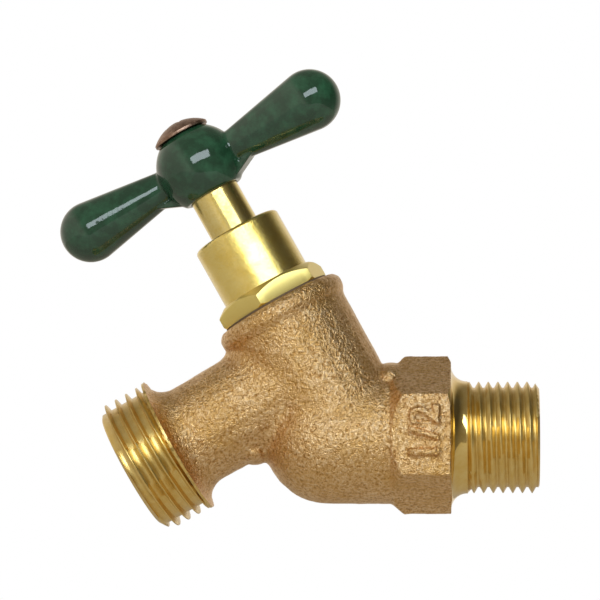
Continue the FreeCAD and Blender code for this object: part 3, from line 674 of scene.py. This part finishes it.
def waterways():
    """The bores of the frame. Inlet and spout are a hair wider, so that no two walls share a surface."""
    inlet = INLET_BORE + BORE_CLEAR
    drill = rod("waterways", CROSSING, INLET, 0, INLET_END, inlet, MACHINED)
    drill = combined(drill, ball("turn", CROSSING, inlet, MACHINED), "UNION")
    seat = rod("seat bore", CROSSING, STEM, 0, SEAT_HEIGHT + MM, SEAT_BORE, MACHINED)
    drill = combined(drill, seat, "UNION")
    moat, neck_foot, neck_end = SEAT_HEIGHT - MM, BONNET_FOOT - MM, NECK_TOP + MM
    chamber = turned("chamber", CROSSING, STEM, [
        (SEAT_HEIGHT, 0), (SEAT_HEIGHT, 6.1 * MM), (moat, 6.6 * MM), (moat, CHAMBER_BORE),
        (neck_foot, CHAMBER_BORE), (neck_foot, NECK_BORE), (neck_end, NECK_BORE), (neck_end, 0)], MACHINED)
    drill = combined(drill, chamber, "UNION")
    mouth = OUTLET_REACH - MOUTH_DEPTH
    narrow, wide = SPOUT_BORE + BORE_CLEAR, MOUTH_BORE + BORE_CLEAR
    spout = turned("spout bore", SPOUT_START, SPOUT, [
        (0, 0), (0, narrow), (mouth - MOUTH_TAPER, narrow), (mouth, wide), (OUTLET_END, wide),
        (OUTLET_END, 0)], MACHINED)
    return combined(drill, spout, "UNION")


# %% The two threads, from the frame
def thread(name, origin, axis, start):
    """The frame's body from start outwards, along an axis."""
    ends = copy_of("valve_body", name, MACHINED)
    keep = rod("keep", origin, axis, start, start + 30 * MM, 22 * MM, MACHINED)
    return combined(ends, keep, "INTERSECT")


def rounded_shading(piece, angle=32):
    """Smooth shading, apart from edges that bend by more than the angle."""
    piece.data.shade_smooth()
    piece.data.set_sharp_from_angle(angle=math.radians(angle))
    return piece


def soften_cast_edges(piece):
    """Keep hard edges only where a machined face is on one side."""
    mesh = piece.data
    cast = mesh.materials.find(CAST.name)
    built = bmesh.new()
    built.from_mesh(mesh)
    for edge in built.edges:
        if all(face.material_index == cast for face in edge.link_faces):
            edge.smooth = True
    built.to_mesh(mesh)
    built.free()
    return piece


def valve_body():
    body = cast_blank()
    for tool in (inlet_facing(), outlet_facing(), neck_facing()):
        body = combined(body, tool, "DIFFERENCE")
    body = combined(body, waterways(), "DIFFERENCE")
    body = combined(body, thread("inlet thread", CROSSING, INLET, THREAD_START + OVERLAP), "UNION")
    body = combined(body, thread("spout thread", SPOUT_START, SPOUT, COLLAR - OVERLAP), "UNION")
    body = soften_cast_edges(rounded_shading(body))
    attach(body, "body")
    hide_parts("valve_body")
    body.data.calc_loop_triangles()
    print("body:", len(body.data.loop_triangles), "triangles,", [m.name for m in body.data.materials])
    return body


body = valve_body()

# %% [markdown]
# ## The handle
# A die-cast handle has no sharp inner corners, and the enamel rounds them further. The frame's handle is
# remeshed finely and smoothed, which leaves a small fillet where the arms and webs leave the hub.

# %% The enamelled handle
HANDLE_VOXEL = 0.22 * MM


def handle():
    made = copy_of("handle", "handle_enamelled", GREEN)
    made = modified(made, "REMESH", mode="VOXEL", voxel_size=HANDLE_VOXEL)
    made = modified(made, "SMOOTH", factor=0.5, iterations=8)
    made.data.materials.clear()
    made.data.materials.append(GREEN)
    made.data.shade_smooth()
    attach(made, "spindle")
    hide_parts("handle")
    print("handle:", len(made.data.polygons), "faces")
    return made


handle()

# %% [markdown]
# ## Bonnet and handle screw
# Both are turned, and their outlines are right. What the frame leaves out is the tiny radius on every
# outer edge, and it is this that draws a bright line along a real edge. A bevel adds it, on the outside
# only: the inner threads stay as they are.


# %% Bevel the outer edges
SHARP = math.radians(25)
BONNET_EDGE = 0.16 * MM
SCREW_EDGE = 0.15 * MM
HANDLE_TOP = span("handle", CROSSING, STEM)[1]


def bevelled(node, name, material, body_name, width, outside):
    """A copy of a node with its sharp edges rounded, where outside says so."""
    made = copy_of(node, name, material)
    built = bmesh.new()
    built.from_mesh(made.data)
    weight = built.edges.layers.float.new("bevel_weight_edge")
    for edge in built.edges:
        sharp = len(edge.link_faces) == 2 and edge.calc_face_angle(0) > SHARP
        edge[weight] = 1.0 if sharp and all(outside(v.co) for v in edge.verts) else 0.0
    built.to_mesh(made.data)
    built.free()
    made = modified(made, "BEVEL", width=width, segments=3, limit_method="WEIGHT", harden_normals=False)
    rounded_shading(made, 40)
    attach(made, body_name)
    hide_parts(node)
    print(name + ":", len(made.data.polygons), "faces")
    return made


def from_stem(point):
    """Height along the stem's axis and distance from it."""
    height = (point - CROSSING).dot(STEM)
    return height, (point - CROSSING - STEM * height).length


def outside_of_bonnet(point):
    height, radius = from_stem(point)
    return height > NECK_TOP + 0.4 * MM and radius > 7.5 * MM


def on_screw_head(point):
    return from_stem(point)[0] > HANDLE_TOP - 0.3 * MM


bevelled("bonnet", "bonnet_turned", BONNET_FINISH, "body", BONNET_EDGE, outside_of_bonnet)
bevelled("handle_screw", "handle_screw_plated", PLATE, "spindle", SCREW_EDGE,
         on_screw_head)

# %% [markdown]
# ## Pieces that keep the frame's mesh
# The stem is smooth where it shows. The fibre gasket is a thin line under the bonnet. The seals, the washer
# and its screw are inside, and show only when the valve is taken apart, but each has its own finish.

# %% Finishes of the kept nodes
FINISHES = {
    "stem": STEM_FINISH,
    "washer_screw": STEM_FINISH,
    "bonnet_gasket": FIBRE,
    "seat_washer": RUBBER,
    "stem_o_ring_upper": RUBBER,
    "stem_o_ring_lower": RUBBER,
}
for name, material in FINISHES.items():
    mesh = frame["nodes"][name].data
    mesh.materials.clear()
    mesh.materials.append(material)
    print(name, "is", material.name)

# %% [markdown]
# ## Studio
# The valve was photographed in a white tent: white behind it, a wide cool softbox in front and above, tilted
# in line with the handle's arms, and an unlit side to the upper right that puts the dark band on the bonnet.
# Metal shows what stands around it, so the world is not one grey. For reflections it is a warm white whose
# level changes smoothly from the lower left to the upper right, brighter behind the valve. For the camera
# it is plain white, and for the soft light on dull surfaces an even, warm grey.

# %% The world
ROOM = (
    (0.0, 0.5),
    (0.1, 0.62),
    (0.3, 0.72),
    (0.42, 0.3),
    (0.6, 0.26),
    (0.84, 0.2),
    (0.93, 0.13),
    (0.98, 0.06),
)
ROOM_SLOPE = (0.87, 0.49)
STEEP = (0.45, 0.85)
BEHIND = (0.4, 0.85)
TENT = 0.8
SOFT_LIGHT = 0.5
WARM_WHITE = (1.0, 0.92, 0.8)
WHITE = (1, 1, 1)


def studio_world():
    world = bpy.data.worlds.new("studio")
    bpy.context.scene.world = world
    world.use_nodes = True
    nodes = Nodes(world.node_tree)
    direction = nodes.node("ShaderNodeTexCoord", output=0)
    right, back, up = (nodes.node("ShaderNodeSeparateXYZ", None, {0: direction}, output=axis)
                       for axis in range(3))
    sloped = right * ROOM_SLOPE[0] + up * ROOM_SLOPE[1]
    stops = [(place, (level,) * 3) for place, level in ROOM]
    room = nodes.node("ShaderNodeValToRGB", {"stops": stops}, {"Fac": sloped * 0.5 + 0.5})
    steep = up.worked("ABSOLUTE", up).step(*STEEP)
    behind = back.step(*BEHIND) * (1 - steep)
    level = room * (1 - behind) + behind * TENT
    camera = nodes.node("ShaderNodeLightPath", output="Is Camera Ray")
    clear = nodes.node("ShaderNodeLightPath", output="Is Transmission Ray")
    glossy = nodes.node("ShaderNodeLightPath", output="Is Glossy Ray")
    strength = camera + clear + glossy * level + (1 - camera - clear - glossy) * SOFT_LIGHT
    background = world.node_tree.nodes["Background"]
    nodes.set_socket(background, "Color", nodes.blend(camera + clear, WARM_WHITE, WHITE))
    nodes.set_socket(background, "Strength", strength)


studio_world()
print("world:", len(bpy.context.scene.world.node_tree.nodes), "nodes")

# %% [markdown]
# The floor glows for the camera, which makes it white with a soft shadow on it. Metal would show that glow
# on every underside, so reflections see only a dim amber, and past the floor's edge the tent.

# %% The floor
CENTRE = Vector((-0.045, 0, 0.026))
FLOOR_HALF = 0.36
FLOOR_HEIGHT = -0.075
FLOOR_GREY = (0.55, 0.55, 0.55)
DIM_AMBER = (0.12, 0.08, 0.025)
BLACK = (0, 0, 0)


def floor():
    mesh = bpy.data.meshes.new("floor")
    corners = [(CENTRE.x + x * FLOOR_HALF, y * FLOOR_HALF, FLOOR_HEIGHT)
               for x, y in ((-1, -1), (1, -1), (1, 1), (-1, 1))]
    mesh.from_pydata(corners, [], [(0, 1, 2, 3)])
    ground = new_piece("floor", mesh)
    paint = Finish("floor paint", Roughness=0.9, Base_Color=FLOOR_GREY, Emission_Strength=0.66)
    camera = paint.node("ShaderNodeLightPath", output="Is Camera Ray")
    glossy = paint.node("ShaderNodeLightPath", output="Is Glossy Ray")
    glow = paint.blend(glossy, BLACK, DIM_AMBER)
    mesh.materials.append(paint.feed(Emission_Color=paint.blend(camera, glow, WHITE)))


floor()

# %% [markdown]
# One softbox lights the valve. Its width and turn follow from the bright bar along each of the handle's
# arms, and its height from how thick those bars are.

# %% The softbox
COOL_WHITE = (0.82, 0.92, 1.0)


def out_from_valve(azimuth, elevation):
    """A direction out from the valve. Azimuth 0 is in front, and positive to the right."""
    az, el = math.radians(azimuth), math.radians(elevation)
    return Vector((math.sin(az) * math.cos(el), -math.cos(az) * math.cos(el), math.sin(el)))


def softbox(name, azimuth, elevation, distance, width, height, turn, energy, colour):
    """A rectangular softbox that faces the valve, turned about the line to it."""
    light = bpy.data.lights.new(name, "AREA")
    light.shape = "RECTANGLE"
    light.size = width
    light.size_y = height
    light.energy = energy
    light.color = colour
    shown = bpy.data.objects.new(name, light)
    out = out_from_valve(azimuth, elevation)
    shown.location = CENTRE + out * distance
    shown.rotation_mode = "QUATERNION"
    aim = out.to_track_quat("Z", "Y")
    shown.rotation_quaternion = aim @ Matrix.Rotation(math.radians(turn), 3, "Z").to_quaternion()
    bpy.context.scene.collection.objects.link(shown)
    print(name, "at", [round(place, 3) for place in shown.location])


softbox("key softbox", azimuth=6, elevation=25, distance=0.9, width=0.84, height=0.31, turn=29,
        energy=4.3, colour=COOL_WHITE)

# %% [markdown]
# ## Camera
# A long lens a little over half a metre away, slightly to the right and slightly low, looking up a little.
# Its place was found from how far the round edges of the neck, the bonnet and the outlet bulge in the
# photograph.

# %% The camera
CAMERA_AZIMUTH = 3.5
CAMERA_ELEVATION = -3.3
CAMERA_DISTANCE = 0.540
LENS = 171.1
SENSOR = 36


def camera():
    data = bpy.data.cameras.new("camera")
    data.lens = LENS
    data.sensor_width = SENSOR
    shown = bpy.data.objects.new("camera", data)
    out = out_from_valve(CAMERA_AZIMUTH, CAMERA_ELEVATION)
    shown.location = CENTRE + out * CAMERA_DISTANCE
    shown.rotation_euler = out.to_track_quat("Z", "Y").to_euler()
    bpy.context.scene.collection.objects.link(shown)
    bpy.context.scene.camera = shown
    print("camera at", [round(place, 3) for place in shown.location])


camera()
bpy.context.scene.view_settings.view_transform = "Standard"
